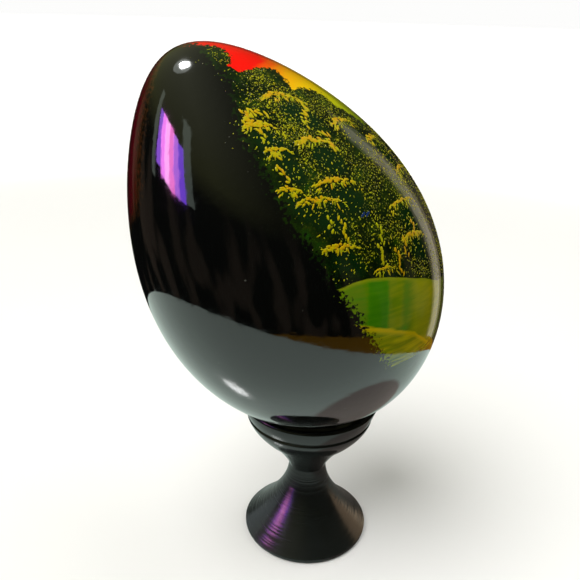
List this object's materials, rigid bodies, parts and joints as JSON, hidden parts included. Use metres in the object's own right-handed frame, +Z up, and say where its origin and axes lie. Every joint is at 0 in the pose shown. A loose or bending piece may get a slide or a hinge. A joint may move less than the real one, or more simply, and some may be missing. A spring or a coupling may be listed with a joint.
{
  "type": "decorated egg on stand",
  "caption": "Painted and lacquered turned wooden egg leaning loose in a turned black egg cup with a bell-shaped foot.",
  "frame": {"origin": "centre of the foot's flat underside", "axes": "+Z up along the stand's turning axis; the egg leans towards -X"},
  "size_m": [0.0741, 0.0701, 0.1312],
  "materials": {
    "painted_lacquer": "high-gloss clear lacquer over a painted landscape on a black ground",
    "bare_linden": "sanded end grain, unpainted",
    "gloss_black_paint": "glossy black lacquer paint on turned wood",
    "satin_black_paint": "satin black lacquer paint over visible lathe rings"
  },
  "bodies": {
    "stand": {"stand_foot": "satin_black_paint", "stand_cup": "gloss_black_paint"},
    "plug": {"egg_plug": "bare_linden"},
    "egg": {"egg_body": "painted_lacquer"}
  },
  "joints": [
    {"name": "egg_lift", "type": "slide", "parent": "stand", "child": "plug", "axis": [0, 0, 1], "range_m": [0, 0.05]},
    {"name": "egg_turn", "type": "hinge", "parent": "plug", "child": "egg", "pos_m": [-0.00862, -0.00322, 0.08575], "axis": [-0.4441, -0.166, 0.8805], "continuous": true}
  ]
}
